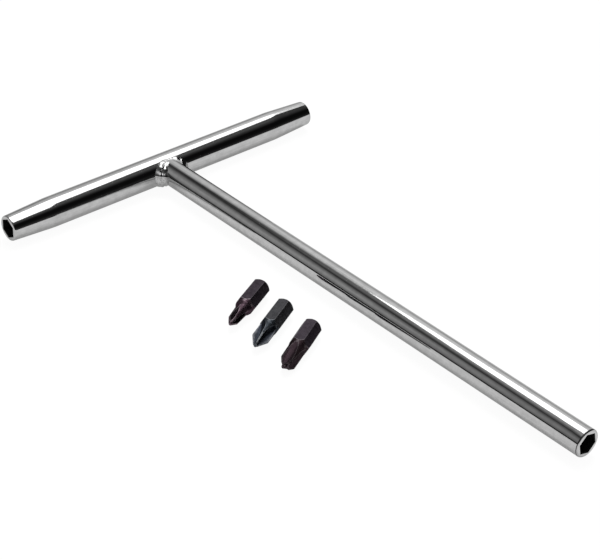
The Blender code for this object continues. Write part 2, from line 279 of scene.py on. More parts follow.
# Studio
WORLD_LEVEL = 0.55
FLOOR_HALF_WIDTH = 12.0
FLOOR_SHADE = 0.85
FLOOR_IN_METAL = (0.40, 0.50)  # glow and shade of the paper as the metal sees it, and as the camera does
FLOOR_IN_VIEW = (0.93, 0.10)
PANEL_RADIUS = 4.0
PANEL_COLUMNS = 24
PANEL_ROWS = 16
PANEL_GAIN = 2.0  # lets a ramp of greys up to 1 draw brighter levels
CANOPY_RADIUS = 3.0
CANOPY_STEPS = 4  # between two points of its edge
CANOPY_TOP = 89.0  # degrees


def link(piece):
    bpy.context.scene.collection.objects.link(piece)
    return piece


def make_object(name, bm, surfaces):
    """Turn a bmesh into a linked object with its materials."""
    mesh = bpy.data.meshes.new(name)
    bm.to_mesh(mesh)
    bm.free()
    for surface in surfaces:
        mesh.materials.append(surface)
    return link(bpy.data.objects.new(name, mesh))


def shade_round(mesh, angle):
    mesh.shade_smooth()
    mesh.set_sharp_from_angle(angle=angle)


def add_node(tree, kind, **inputs):
    node = tree.nodes.new(kind)
    for name, value in inputs.items():
        node.inputs[name.replace("_", " ")].default_value = value
    return node


def new_material(name):
    made = bpy.data.materials.new(name)
    made.use_nodes = True
    tree = made.node_tree
    return made, tree, tree.nodes["Principled BSDF"]


def object_noise(tree, stretch, scale, detail=3.0, roughness=0.5):
    """Noise in the piece's own coordinates, stretched by a factor along each axis."""
    place = tree.nodes.new("ShaderNodeTexCoord")
    mapping = add_node(tree, "ShaderNodeMapping", Scale=stretch)
    texture = add_node(tree, "ShaderNodeTexNoise", Scale=scale, Detail=detail, Roughness=roughness)
    tree.links.new(place.outputs["Object"], mapping.inputs["Vector"])
    tree.links.new(mapping.outputs["Vector"], texture.inputs["Vector"])
    return texture.outputs["Fac"]


def ramp(tree, source, stops):
    """A colour ramp over a factor, through (position, grey or colour) stops."""
    node = tree.nodes.new("ShaderNodeValToRGB")
    elements = node.color_ramp.elements
    while len(elements) < len(stops):
        elements.new(0.5)
    for element, (position, value) in zip(elements, stops):
        element.position = position
        colour = value if isinstance(value, tuple) else (value, value, value)
        element.color = (*colour, 1.0)
    tree.links.new(source, node.inputs["Fac"])
    return node.outputs["Color"]


def multiply(tree, first, second):
    node = tree.nodes.new("ShaderNodeMixRGB")
    node.blend_type = "MULTIPLY"
    node.inputs["Fac"].default_value = 1.0
    tree.links.new(first, node.inputs["Color1"])
    tree.links.new(second, node.inputs["Color2"])
    return node.outputs["Color"]


def bump(tree, height, distance, before=None):
    node = add_node(tree, "ShaderNodeBump", Strength=1.0, Distance=distance)
    tree.links.new(height, node.inputs["Height"])
    if before:
        tree.links.new(before, node.inputs["Normal"])
    return node.outputs["Normal"]


def mottled_metal(name, pattern, colours, roughness, metallic=1.0):
    """Metal whose colour and roughness follow one noise, a pattern of (stretch, scale, detail)."""
    made, tree, shader = new_material(name)
    source = object_noise(tree, *pattern)
    shader.inputs["Metallic"].default_value = metallic
    tree.links.new(ramp(tree, source, colours), shader.inputs["Base Color"])
    tree.links.new(ramp(tree, source, roughness), shader.inputs["Roughness"])
    return made, tree, shader, source


def plated_steel(name, along, base=0.52):
    """Bright plate over drawn tube: fine lines along the tube and faint unevenness under the plate."""
    made, tree, shader = new_material(name)
    lines = tuple(0.02 if axis == along else 1.0 for axis in "XYZ")
    streaks = object_noise(tree, lines, 2600.0, 4.0)
    waves = object_noise(tree, EVENLY, 130.0, 2.0)
    cloud = object_noise(tree, EVENLY, 420.0, 5.0, 0.65)
    shader.inputs["Metallic"].default_value = 1.0
    shader.inputs["Specular Tint"].default_value = (0.72, 0.72, 0.72, 1.0)
    clouded = ramp(tree, cloud, [(0.3, base * 0.9), (0.7, base * 1.1)])
    streaked = ramp(tree, streaks, [(0.4, 0.94), (0.6, 1.04)])
    tree.links.new(multiply(tree, clouded, streaked), shader.inputs["Base Color"])
    tree.links.new(ramp(tree, cloud, [(0.3, 0.035), (0.8, 0.085)]), shader.inputs["Roughness"])
    fine = bump(tree, streaks, DRAWN_LINES)
    tree.links.new(bump(tree, waves, PLATE_WAVES, fine), shader.inputs["Normal"])
    return made


def painted_shade_bore(name):
    """Unplated steel inside a socket and on its lead-in, painted near black as the shade in the recess."""
    colours = [(0.3, 0.006), (0.8, 0.02)]
    made, *_ = mottled_metal(name, (EVENLY, 900.0, 4.0), colours, [(0.3, 0.45), (0.8, 0.65)], 0.6)
    return made


def painted_rim_reflection(name):
    """A painted dark reflection on the outer corner of a mouth."""
    colours = [(0.35, 0.03), (0.65, 0.16)]
    made, *_ = mottled_metal(name, (EVENLY, 1400.0, 4.0), colours, [(0.3, 0.25), (0.8, 0.45)])
    return made


def weld_plate(name):
    """Bright plate over the pits and lumps of a weld."""
    colours = [(0.36, 0.33), (0.56, 0.52)]
    pattern = (EVENLY, 1900.0, 4.0)
    made, tree, shader, pits = mottled_metal(name, pattern, colours, [(0.3, 0.05), (0.8, 0.14)])
    lumps = object_noise(tree, EVENLY, 900.0, 3.0)
    fine = bump(tree, pits, WELD_PITS)
    tree.links.new(bump(tree, lumps, WELD_LUMPS, fine), shader.inputs["Normal"])
    return made


def magnet_nickel(name):
    colours = [(0.3, (0.40, 0.38, 0.34)), (0.7, (0.56, 0.53, 0.48))]
    made, *_ = mottled_metal(name, (EVENLY, 1500.0, 4.0), colours, [(0.3, 0.22), (0.8, 0.38)])
    return made


def plain_steel(name):
    """Bare steel with the lathe's lines."""
    colours = [(0.3, 0.26), (0.7, 0.36)]
    pattern = ((1.0, 0.1, 0.1), 4000.0, 3.0)
    made, tree, shader, turning = mottled_metal(name, pattern, colours, [(0.3, 0.4), (0.8, 0.55)])
    tree.links.new(bump(tree, turning, LATHE_LINES), shader.inputs["Normal"])
    return made


def black_oxide(name, colour, roughness, metal, grain_height):
    """Blackened steel: a dark oxide skin over fine cold-drawn grain, with a cast of colour and bright edges
    that are partly wear and partly a painted highlight.
    """
    made, tree, shader = new_material(name)
    shader.inputs["Metallic"].default_value = metal
    shader.inputs["Specular Tint"].default_value = (0.3, 0.3, 0.3, 1.0)
    grain = object_noise(tree, EVENLY, 5200.0, 4.0, 0.6)
    cloud = object_noise(tree, EVENLY, 700.0, 3.0)
    dark = tuple(channel * 0.82 for channel in colour)
    light = tuple(channel * 1.22 for channel in colour)
    # Edges lighten to this colour: partly rubbed steel, partly a painted highlight.
    rubbed_and_glinting = tuple(channel * 2.0 + 0.17 for channel in colour)
    edges = tree.nodes.new("ShaderNodeAttribute")
    edges.attribute_name = "glint_and_wear"
    wear_and_glint_share = tree.nodes.new("ShaderNodeMath")
    wear_and_glint_share.operation = "MULTIPLY"
    tree.links.new(edges.outputs["Fac"], wear_and_glint_share.inputs[0])
    tree.links.new(ramp(tree, cloud, [(0.35, 0.55), (0.6, 1.0)]), wear_and_glint_share.inputs[1])
    skin = tree.nodes.new("ShaderNodeMixRGB")
    skin.inputs["Color2"].default_value = (*rubbed_and_glinting, 1.0)
    tree.links.new(wear_and_glint_share.outputs["Value"], skin.inputs["Fac"])
    tree.links.new(ramp(tree, cloud, [(0.3, dark), (0.7, light)]), skin.inputs["Color1"])
    tree.links.new(skin.outputs["Color"], shader.inputs["Base Color"])
    rough = ramp(tree, grain, [(0.3, roughness - 0.06), (0.7, roughness + 0.08)])
    tree.links.new(rough, shader.inputs["Roughness"])
    tree.links.new(bump(tree, grain, grain_height), shader.inputs["Normal"])
    return made


def lofted(name, rings, surfaces, bands, turn):
    """A closed skin through equal rings, the last joined to the first. A band's number picks its surface."""
    count = len(rings[0])
    bm = bmesh.new()
    loops = [[bm.verts.new(turn @ point) for point in ring] for ring in rings]
    for i, loop in enumerate(loops):
        following = loops[(i + 1) % len(loops)]
        for k in range(count):
            after = (k + 1) % count
            face = bm.faces.new((loop[k], loop[after], following[after], following[k]))
            face.material_index = bands[i]
    bmesh.ops.recalc_face_normals(bm, faces=bm.faces)
    piece = make_object(name, bm, surfaces)
    shade_round(piece.data, TUBE_SHARP_ANGLE)
    return piece


def hex_wall(apothem, angle):
    """Distance from the axis of a hex to its wall, with a flat across angle 0."""
    off = (angle + math.pi / 6) % (math.pi / 3) - math.pi / 6
    return apothem / math.cos(off)


def mouth_stations(outer, rim, end, hex_end, turn):
    """Rings of a socket from its bottom, up the hex, over the lead-in and the end face, and round the rim."""

    def wall(angle):
        return hex_wall(HEX_APOTHEM, angle - turn)

    def face_edge(angle):
        return hex_wall(HEX_APOTHEM + MOUTH_CHAMFER, angle - turn)

    stations = [(wall, hex_end, BORE), (wall, end - MOUTH_CHAMFER, BORE), (face_edge, end, END_FACE)]
    for i in range(ARC_STEPS + 1):
        a = math.pi / 2 * (1 - i / ARC_STEPS)
        radius = outer - rim + rim * math.cos(a)
        # The rim's outer corner gets the painted dark reflection.
        band = DARK_RIM_BAND if ARC_STEPS - EDGE_STEPS <= i < ARC_STEPS else PLATE
        stations.append((radius, end - rim + rim * math.sin(a), band))
    return stations


def value_at(item, angle):
    return item(angle) if callable(item) else item


def tube_rings(stations):
    """Rings of points round local Z for (radius, height, surface) stations."""
    rings = []
    for radius, height, _ in stations:
        ring = []
        for k in range(TUBE_STEPS):
            angle = TUBE_START + 2 * math.pi * k / TUBE_STEPS
            r = value_at(radius, angle)
            ring.append(Vector((r * math.cos(angle), r * math.sin(angle), value_at(height, angle))))
        rings.append(ring)
    return rings


def swage_radius(height):
    """Outer radius of the handle at a distance from its middle: a taper that sets in smoothly."""
    start = HALF_HANDLE - SWAGE_LENGTH
    slope = (HANDLE_RADIUS - SWAGE_RADIUS) / SWAGE_LENGTH
    past = height - start
    if past <= -SWAGE_BLEND:
        return HANDLE_RADIUS
    if past < SWAGE_BLEND:
        return HANDLE_RADIUS - slope * (past + SWAGE_BLEND) ** 2 / (4 * SWAGE_BLEND)
    return HANDLE_RADIUS - slope * past


def swage_mark(height, side):
    """Height of the swaging hammers' marks, which fade out along the taper."""
    past = height - (HALF_HANDLE - SWAGE_LENGTH)
    if past < -SWAGE_BLEND or past > MARK_REACH:
        return 0.0
    fade = math.exp(-max(past, 0.0) / MARK_FADE) * min(1.0, (past + SWAGE_BLEND) / SWAGE_BLEND)
    wander = noise.noise(Vector((height / MARK_WANDER_LENGTH, side * MARK_SIDE_STEP, 0.0)))
    return MARK_HEIGHT * fade * (math.sin(2 * math.pi * past / MARK_PITCH) + MARK_WANDER * wander)


def handle_half(side, turn):
    """Stations of half a handle: out along its bore, round its mouth and back along its skin."""
    end = HALF_HANDLE
    hex_end = end - SOCKET_DEPTH
    stations = [
        (HANDLE_BORE, 0.0, BORE),
        (HANDLE_BORE, hex_end - BORE_FLARE, BORE),
        (HEX_CORNER + SEAT_GAP, hex_end, BORE),
    ]
    stations += mouth_stations(SWAGE_RADIUS, HANDLE_RIM, end, hex_end, turn)
    taper_end = end - HANDLE_RIM
    taper_start = end - SWAGE_LENGTH - SWAGE_BLEND
    for i in range(1, TAPER_STEPS + 1):
        height = taper_end + (taper_start - taper_end) * i / TAPER_STEPS
        stations.append((swage_radius(height) + swage_mark(height, side), height, PLATE))
    for i in range(1, BODY_STEPS):
        stations.append((HANDLE_RADIUS, taper_start * (1 - i / BODY_STEPS), PLATE))
    return stations


def make_handle(surfaces):
    """The two halves in one skin. The left mouth is plated up to its socket, and the right one has a painted
    dark reflection on its rim and a brighter end face, a painted highlight.
    """
    right = handle_half(1, HANDLE_HEX_TURN)
    left = handle_half(-1, -HANDLE_HEX_TURN)
    middle = (HANDLE_RADIUS, 0.0, PLATE)
    back = [(radius, -height, band) for radius, height, band in reversed(left)]
    stations = right + [middle] + back[:-1]
    inside = sum(band == BORE for _, _, band in left)
    outside = len(stations) - len(right) - inside
    bands = [band for _, _, band in right] + [PLATE] * outside + [BORE] * inside
    turn = Matrix.Translation(CENTRE) @ TO_RIGHT
    piece = lofted("handle_plated", tube_rings(stations), surfaces, bands, turn)
    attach(piece, "driver")
    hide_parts("handle_tube")


def make_stem(surfaces):
    """A tube from its coped foot on the handle to its mouth, with its bore."""
    end = STEM_REACH
    hex_end = end - SOCKET_DEPTH

    def foot(radius):
        return lambda angle: math.sqrt((HANDLE_RADIUS + SEAT_GAP) ** 2 - (radius * math.sin(angle)) ** 2)

    stations = [(STEM_BORE, foot(STEM_BORE), BORE), (STEM_BORE, hex_end, BORE)]
    stations += mouth_stations(STEM_RADIUS, STEM_RIM, end, hex_end, STEM_HEX_TURN)
    skin_end = end - STEM_RIM
    for i in range(1, STEM_STEPS):
        height = skin_end + (HANDLE_RADIUS - skin_end) * i / STEM_STEPS
        stations.append((STEM_RADIUS, height, PLATE))
    stations.append((STEM_RADIUS, foot(STEM_RADIUS), BORE))
    bands = [band for _, _, band in stations]
    turn = Matrix.Translation(CENTRE) @ TO_STEM
    piece = lofted("stem_plated", tube_rings(stations), surfaces, bands, turn)
    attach(piece, "driver")
    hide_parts("stem_tube")


def smooth_step(share):
    share = max(0.0, min(1.0, share))
    return share * share * (3 - 2 * share)


def weld_noise(side, rise, scale, layer):
    """Noise that closes on itself round the stem."""
    return noise.noise(Vector((scale * side, scale * rise, layer)))


def weld_section(around):
    """Outline of the bead at one angle about the stem, from its toe on the handle to its toe on the stem."""
    on_handle = HANDLE_RADIUS - WELD_SINK
    on_stem = STEM_RADIUS - WELD_SINK
    side = math.cos(around)
    rise = math.sin(around)
    wander = weld_noise(side, rise, *WELD_WANDER_NOISE)
    beat = WELD_RIPPLES * (around + WELD_RIPPLE_WANDER * wander)
    lump = math.cos(beat) + WELD_LUMP_SHARE * weld_noise(side, rise, *WELD_LUMP_NOISE)
    raised = smooth_step((-side - WELD_RAISED_FROM) / WELD_RAISED_OVER)
    swell = WELD_RIPPLE * (WELD_RIPPLE_LEAST + WELD_RIPPLE_RAISED * raised) * lump
    along_handle = WELD_ON_HANDLE * (1 - WELD_LEFT_SHARE * side * abs(side)) + swell
    along_stem = WELD_ON_STEM * (1 - WELD_TOP_SHARE * rise * rise) + swell
    crown = WELD_CROWN * raised - WELD_HOLLOW * (1 - raised) + swell
    crease = WELD_CREASE * raised * (1 + WELD_CREASE_UNEVEN * wander)
    crease_at = WELD_CREASE_PLACE + WELD_CREASE_WANDER * weld_noise(side, rise, *WELD_CREASE_NOISE)
    root_angle = math.asin(max(-1.0, min(1.0, on_stem * rise / on_handle)))
    climb = WELD_CREST_SHARE * (math.pi / 2 * rise - root_angle * abs(rise))
    turn = root_angle + climb
    toe = Vector(((on_stem + along_handle) * side, -on_handle * math.cos(turn), on_handle * math.sin(turn)))
    root = Vector((on_stem * side, -on_handle * math.cos(root_angle), on_handle * math.sin(root_angle)))
    stem_toe = root - Vector((0.0, along_stem, 0.0))
    chord = stem_toe - toe
    spoke = Vector((side, 0.0, rise))
    outward = (spoke - spoke.project(chord)).normalized()
    points = []
    for i in range(WELD_ARC_STEPS + 1):
        t = i / WELD_ARC_STEPS
        arch = 4 * t * (1 - t)
        dimple = WELD_DIMPLE * weld_noise(side, rise, WELD_DIMPLE_SCALE, WELD_DIMPLE_RUN * t)
        notch = crease * math.exp(-(((t - crease_at) / WELD_CREASE_WIDTH) ** 2))
        points.append(toe + chord * t + outward * ((crown + dimple) * arch - notch))
    return [root, *points]


def make_weld(surface):
    sections = [weld_section(2 * math.pi * i / WELD_STEPS) for i in range(WELD_STEPS)]
    rings = [[section[k] for section in sections] for k in range(len(sections[0]))]
    piece = lofted("weld_plated", rings, [surface], [0] * len(rings), Matrix.Translation(CENTRE))
    piece.data.shade_smooth()
    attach(piece, "driver")
    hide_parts("weld_bead")


def turned_radius(sizes, height):
    """Radius that the lathe leaves at a height above the bit's rear face."""
    from_nose = BIT_LENGTH - height
    shoulder = BIT_APOTHEM - SHOULDER_CUT
    blade = sizes["blade_radius"]
    neck_start = sizes["turned_length"] - sizes["shoulder_length"]
    if height < BIT_REAR_CHAMFER:
        return BIT_CORNER - (BIT_REAR_CHAMFER - height) * BIT_REAR_SLOPE
    if from_nose > sizes["turned_length"]:
        return shoulder + (from_nose - sizes["turned_length"]) * SCALLOP_SLOPE
    if from_nose > neck_start:
        return shoulder
    if from_nose > sizes["tip_length"]:
        into_neck = (neck_start - from_nose) / sizes["neck_length"]
        if into_neck < 1:
            return shoulder + (blade - shoulder) * smooth_step(into_neck)
        blade_start = neck_start - sizes["neck_length"]
        along = (blade_start - from_nose) / (blade_start - sizes["tip_length"])
        return blade + (sizes["front_radius"] - blade) * along
    if from_nose > sizes["nose_length"]:
        along = (from_nose - sizes["nose_length"]) / (sizes["tip_length"] - sizes["nose_length"])
        return sizes["tip_radius"] + (sizes["front_radius"] - sizes["tip_radius"]) * along
    return sizes["nose_radius"]


def off_flute(sizes, angle):
    """Angle from the middle of the nearest flute."""
    return (angle - sizes["wing_turn"]) % (math.pi / 2) - math.pi / 4


def flute_radius(sizes, height, angle):
    """Distance from the axis to a flute's flank. The valley rises in a round run-out towards the shoulder."""
    from_nose = BIT_LENGTH - height
    web = sizes["web_radius"]
    lean = sizes["flute_lean"]
    run_out = sizes["flute_length"] - sizes["flute_straight"]
    rise = BIT_APOTHEM - SHOULDER_CUT - web - lean * sizes["flute_length"]
    valley = web + lean * from_nose
    valley += rise * (max(0.0, from_nose - sizes["flute_straight"]) / run_out) ** 2
    off = off_flute(sizes, angle)
    across = abs(math.sin(off)) ** sizes["groove_power"]
    return valley / max(LEAST_OPENING, math.cos(off) - sizes["groove_spread"] * across)


def flute_half_width(sizes, height, lathe):
    """Angle from a flute's middle to its edge on the turned bit, 0 where the flute has run out."""
    middle = sizes["wing_turn"] + math.pi / 4
    low, high = 0.0, math.pi / 4
    for _ in range(HALVINGS):
        half = (low + high) / 2
        if flute_radius(sizes, height, middle + half) < lathe:
            low = half
        else:
            high = half
    return low


def ring_angles(sizes, height, lathe):
    """Angles of a ring's points. They follow the flutes' edges, and are even along the hex shank."""
    middle = sizes["wing_turn"] + math.pi / 4
    even_middle = EVEN_STEP * round(middle / EVEN_STEP)
    above = sizes["turned_length"] - (BIT_LENGTH - height)
    share = smooth_step(above / (sizes["turned_length"] - sizes["flute_length"]))
    cut = max(flute_half_width(sizes, height, lathe), LEAST_HALF_WIDTH)
    half = EVEN_HALF_WIDTH + (cut - EVEN_HALF_WIDTH) * share
    middle = even_middle + (middle - even_middle) * share
    angles = []
    for j in range(4):
        centre = middle + j * math.pi / 2
        angles += [centre + half * (2 * i / FLUTE_STEPS - 1) for i in range(FLUTE_STEPS)]
        wing = math.pi / 2 - 2 * half
        angles += [centre + half + wing * i / WING_STEPS for i in range(WING_STEPS)]
    return angles, cut


def bit_heights(sizes):
    """Heights of a bit's rings: fine where it is turned or milled, and at each corner of its outline."""
    shank_end = BIT_LENGTH - sizes["turned_length"]
    nose_base = BIT_LENGTH - sizes["nose_length"]
    corners = [
        BIT_REAR_CHAMFER,
        shank_end,
        BIT_LENGTH - sizes["tip_length"],
        nose_base - NOSE_STEP,
        nose_base + NOSE_STEP,
        BIT_LENGTH,
    ]
    heights = list(corners)
    height = 0.0
    while height < BIT_LENGTH:
        if all(abs(height - corner) > FINE_STEP / 2 for corner in corners):
            heights.append(height)
        plain = COARSE_FROM < height < shank_end - COARSE_MARGIN
        height += COARSE_STEP if plain else FINE_STEP
    return sorted(heights)


def edge_wear_and_glint(sizes, height, angle, lathe, cut, fluted):
    """How bright a point is, from 0 to 1 on an edge, partly wear and partly a painted highlight: the hex's
    end and corners, the flutes and the tip.
    """
    from_nose = BIT_LENGTH - height
    bar = hex_wall(BIT_APOTHEM, angle)
    corner = abs(angle % (math.pi / 3) - math.pi / 6)
    distances = [(abs(bar - lathe) / SCALLOP_SLOPE / SCALLOP_WEAR_AND_GLINT_SPREAD, sizes["scallop_wear_and_glint"])]
    if bar < lathe:
        distances.append((corner * BIT_CORNER, CORNER_WEAR_AND_GLINT))
    off = abs(off_flute(sizes, angle))
    if fluted:
        distances.append((abs(off - cut) * lathe, sizes["flute_wear_and_glint"]))
    if off >= cut and from_nose > NOSE_FREE_OF_WEAR_AND_GLINT:
        distances.append((max(0.0, from_nose - sizes["tip_length"]), sizes["wing_wear_and_glint"]))
    return max(share * max(0.0, 1 - distance / WEAR_AND_GLINT_WIDTH) for distance, share in distances)


def make_bit(key, sizes, surfaces):
    """A hex bar, turned to a shoulder, blade and tip, with four flutes that leave a cross of wings."""
    shank, turned, milled = range(3)
    name = f"{key}_bit_blackened"
    lies_at = Matrix.Translation(CENTRE + Vector((*sizes["rear"], BIT_APOTHEM - HANDLE_RADIUS)))
    turn = lies_at @ Matrix.Rotation(sizes["yaw"], 4, "Z") @ TO_RIGHT
    bm = bmesh.new()
    wear_and_glint_share = bm.verts.layers.float.new("glint_and_wear")
    rings = []
    for height in bit_heights(sizes):
        lathe = turned_radius(sizes, height)
        fluted = BIT_LENGTH - height < sizes["flute_length"]
        angles, cut = ring_angles(sizes, height, lathe)
        ring = []
        for angle in angles:
            r = min(hex_wall(BIT_APOTHEM, angle), lathe, flute_radius(sizes, height, angle))
            point = bm.verts.new(turn @ Vector((r * math.cos(angle), r * math.sin(angle), height)))
            point[wear_and_glint_share] = edge_wear_and_glint(sizes, height, angle, lathe, cut, fluted)
            ring.append(point)
        rings.append((height, angles, ring))
    count = len(rings[0][2])
    quarter = count // 4
    for (low, angles, ring), (high, _, following) in zip(rings, rings[1:]):
        lathe = turned_radius(sizes, (low + high) / 2)
        fluted = BIT_LENGTH - low < sizes["flute_length"]
        rear = high < BIT_LENGTH / 4
        for k in range(count):
            after = (k + 1) % count
            face = bm.faces.new((ring[k], ring[after], following[after], following[k]))
            # The flutes take the milled colour, painted darker as shade on the small and medium bits.
            if rear or hex_wall(BIT_APOTHEM, angles[k]) < lathe:
                face.material_index = shank
            elif fluted and k % quarter < FLUTE_STEPS:
                face.material_index = milled
            else:
                face.material_index = turned
    for (height, _, ring), surface in ((rings[0], shank), (rings[-1], turned)):
        middle = bm.verts.new(turn @ Vector((0.0, 0.0, height)))
        for k in range(count):
            face = bm.faces.new((ring[k], ring[(k + 1) % count], middle))
            face.material_index = surface
    bmesh.ops.recalc_face_normals(bm, faces=bm.faces)
    piece = make_object(name, bm, surfaces)
    shade_round(piece.data, BIT_SHARP_ANGLE)
    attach(piece, f"{key}_bit")
    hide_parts(f"cross_bit_{key}")


def dress(name, surface):
    """Give a CAD node that shows as it is its material."""
    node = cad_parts[name]
    node.data.materials.clear()
    node.data.materials.append(surface)


def make_camera():
    back = Vector((
        math.sin(CAMERA_AZIMUTH) * math.cos(CAMERA_ELEVATION),
        -math.cos(CAMERA_AZIMUTH) * math.cos(CAMERA_ELEVATION),
        math.sin(CAMERA_ELEVATION),
    ))
    level_right = Vector((0, 0, 1)).cross(back).normalized()
    level_up = back.cross(level_right)
    right = math.cos(CAMERA_ROLL) * level_right - math.sin(CAMERA_ROLL) * level_up
    up = back.cross(right)
    data = bpy.data.cameras.new("camera")
    data.sensor_width = SENSOR_WIDTH
    data.lens = FOCAL_SHARE * SENSOR_WIDTH
    data.clip_start = 0.01
    data.clip_end = 100.0
    camera = link(bpy.data.objects.new("camera", data))
    turn = Matrix((right, up, back)).transposed().to_4x4()
    camera.matrix_world = Matrix.Translation(CENTRE + Vector(CAMERA_PLACE)) @ turn
    bpy.context.scene.camera = camera


def seen_directly(tree):
    """1 for rays that show the background: from the camera or off metal."""
    path = tree.nodes.new("ShaderNodeLightPath")
    either = tree.nodes.new("ShaderNodeMath")
    either.operation = "MAXIMUM"
    tree.links.new(path.outputs["Is Camera Ray"], either.inputs[0])
    tree.links.new(path.outputs["Is Glossy Ray"], either.inputs[1])
    return either.outputs["Value"]


def make_world(level):
    """White where it shows, and an even light of a level of its own on everything else."""
    world = bpy.data.worlds.new("studio")
    bpy.context.scene.world = world
    world.use_nodes = True
    tree = world.node_tree
    soft = tree.nodes["Background"]
    soft.inputs["Color"].default_value = (1, 1, 1, 1)
    soft.inputs["Strength"].default_value = level
    white = add_node(tree, "ShaderNodeBackground", Color=(1, 1, 1, 1), Strength=1.0)
    mix = tree.nodes.new("ShaderNodeMixShader")
    tree.links.new(seen_directly(tree), mix.inputs["Fac"])
    tree.links.new(soft.outputs["Background"], mix.inputs[1])
    tree.links.new(white.outputs["Background"], mix.inputs[2])
    tree.links.new(mix.outputs["Shader"], tree.nodes["World Output"].inputs["Surface"])


def stage_material(name):
    """A new material with nothing on it yet, which isn't sampled as a lamp."""
    made = bpy.data.materials.new(name)
    made.use_nodes = True
    made.cycles.emission_sampling = "NONE"
    tree = made.node_tree
    tree.nodes.remove(tree.nodes["Principled BSDF"])
    return made, tree, tree.nodes["Material Output"].inputs["Surface"]


def lit_paper(tree, glow_level, shade):
    """White paper that glows a little, so that only a share of it darkens in a shadow."""
    glow = add_node(tree, "ShaderNodeEmission", Color=(1, 1, 1, 1), Strength=glow_level)
    paper = add_node(tree, "ShaderNodeBsdfDiffuse", Color=(shade, shade, shade, 1))
    both = tree.nodes.new("ShaderNodeAddShader")
    tree.links.new(paper.outputs["BSDF"], both.inputs[0])
    tree.links.new(glow.outputs["Emission"], both.inputs[1])
    return both.outputs["Shader"]


def make_floor():
    """White paper under the object, with a level of its own for the camera and for the metal."""
    made, tree, surface = stage_material("white_paper")
    path = tree.nodes.new("ShaderNodeLightPath")
    soft = add_node(tree, "ShaderNodeBsdfDiffuse", Color=(FLOOR_SHADE, FLOOR_SHADE, FLOOR_SHADE, 1))
    mirrored = tree.nodes.new("ShaderNodeMixShader")
    seen = tree.nodes.new("ShaderNodeMixShader")
    tree.links.new(path.outputs["Is Glossy Ray"], mirrored.inputs["Fac"])
    tree.links.new(soft.outputs["BSDF"], mirrored.inputs[1])
    tree.links.new(lit_paper(tree, *FLOOR_IN_METAL), mirrored.inputs[2])
    tree.links.new(path.outputs["Is Camera Ray"], seen.inputs["Fac"])
    tree.links.new(mirrored.outputs["Shader"], seen.inputs[1])
    tree.links.new(lit_paper(tree, *FLOOR_IN_VIEW), seen.inputs[2])
    tree.links.new(seen.outputs["Shader"], surface)
    bm = bmesh.new()
    bmesh.ops.create_grid(bm, x_segments=2, y_segments=2, size=FLOOR_HALF_WIDTH)
    floor = make_object("floor", bm, [made])


def heading(azimuth, elevation):
    """Unit vector of a direction in degrees: azimuth 0 is +Y and 90 is +X."""
    a = math.radians(azimuth)
    e = math.radians(elevation)
    return Vector((math.sin(a) * math.cos(e), math.cos(a) * math.cos(e), math.sin(e)))


def glowing(name, level, source_of=None):
    """A material that only shines, evenly or as a function of its node tree draws it."""
    made, tree, surface = stage_material(name)
    glow = add_node(tree, "ShaderNodeEmission", Color=(1, 1, 1, 1), Strength=level)
    if source_of:
        tree.links.new(source_of(tree), glow.inputs["Color"])
    tree.links.new(glow.outputs["Emission"], surface)
    return made


def curved_panel(name, columns, radius, surface):
    """A stage panel that only the metal sees, through (azimuth, low, high) columns in degrees."""
    bm = bmesh.new()
    grid = []
    for j in range(PANEL_ROWS + 1):
        line = []
        for azimuth, low, high in columns:
            elevation = low + (high - low) * j / PANEL_ROWS
            line.append(bm.verts.new(CENTRE + radius * heading(azimuth, elevation)))
        grid.append(line)
    rise = bm.loops.layers.uv.new("rise")
    count = len(columns) - 1
    for j in range(PANEL_ROWS):
        for i in range(count):
            face = bm.faces.new((grid[j][i], grid[j][i + 1], grid[j + 1][i + 1], grid[j + 1][i]))
            for loop, (u, v) in zip(face.loops, ((i, j), (i + 1, j), (i + 1, j + 1), (i, j + 1))):
                loop[rise].uv = (u / count, v / PANEL_ROWS)
    panel = make_object(name, bm, [surface])
    panel.visible_camera = False
    panel.visible_diffuse = False
    panel.visible_transmission = False
    panel.visible_volume_scatter = False
    panel.visible_shadow = False


def level_at(points, place):
    """Value at a place along a line through (place, value) points."""
    for (start, value), (end, following) in zip(points, points[1:]):
        if start <= place <= end:
            return value + (following - value) * (place - start) / (end - start)
    return points[0][1] if place < points[0][0] else points[-1][1]


def make_panel(name, azimuths, elevations, shades, fades=None, lifts=((0, 1.0),)):
    """An upright panel, with levels by elevation, shares of them by azimuth, and stretches of its height."""
    low, high = elevations
    first, last = azimuths

    def drawn(tree):
        place = tree.nodes.new("ShaderNodeUVMap")
        place.uv_map = "rise"
        split = tree.nodes.new("ShaderNodeSeparateXYZ")
        tree.links.new(place.outputs["UV"], split.inputs["Vector"])
        stops = [((elevation - low) / (high - low), level / PANEL_GAIN) for elevation, level in shades]
        level = ramp(tree, split.outputs["Y"], stops)
        if not fades:
            return level
        stops = [((azimuth - first) / (last - first), share) for azimuth, share in fades]
        return multiply(tree, level, ramp(tree, split.outputs["X"], stops))

    columns = []
    for i in range(PANEL_COLUMNS + 1):
        azimuth = first + (last - first) * i / PANEL_COLUMNS
        columns.append((azimuth, low, low + (high - low) * level_at(lifts, azimuth)))
    curved_panel(name, columns, PANEL_RADIUS, glowing(name, PANEL_GAIN, drawn))


def make_canopy(name, edge, level):
    """A white cloth over the table, from its lower edge through (azimuth, elevation) points up to the top."""
    columns = []
    for (start, low), (end, following) in zip(edge, edge[1:]):
        for i in range(CANOPY_STEPS):
            share = i / CANOPY_STEPS
            columns.append((start + (end - start) * share, low + (following - low) * share, CANOPY_TOP))
    columns.append((*edge[-1], CANOPY_TOP))
    curved_panel(name, columns, CANOPY_RADIUS, glowing(name, level))


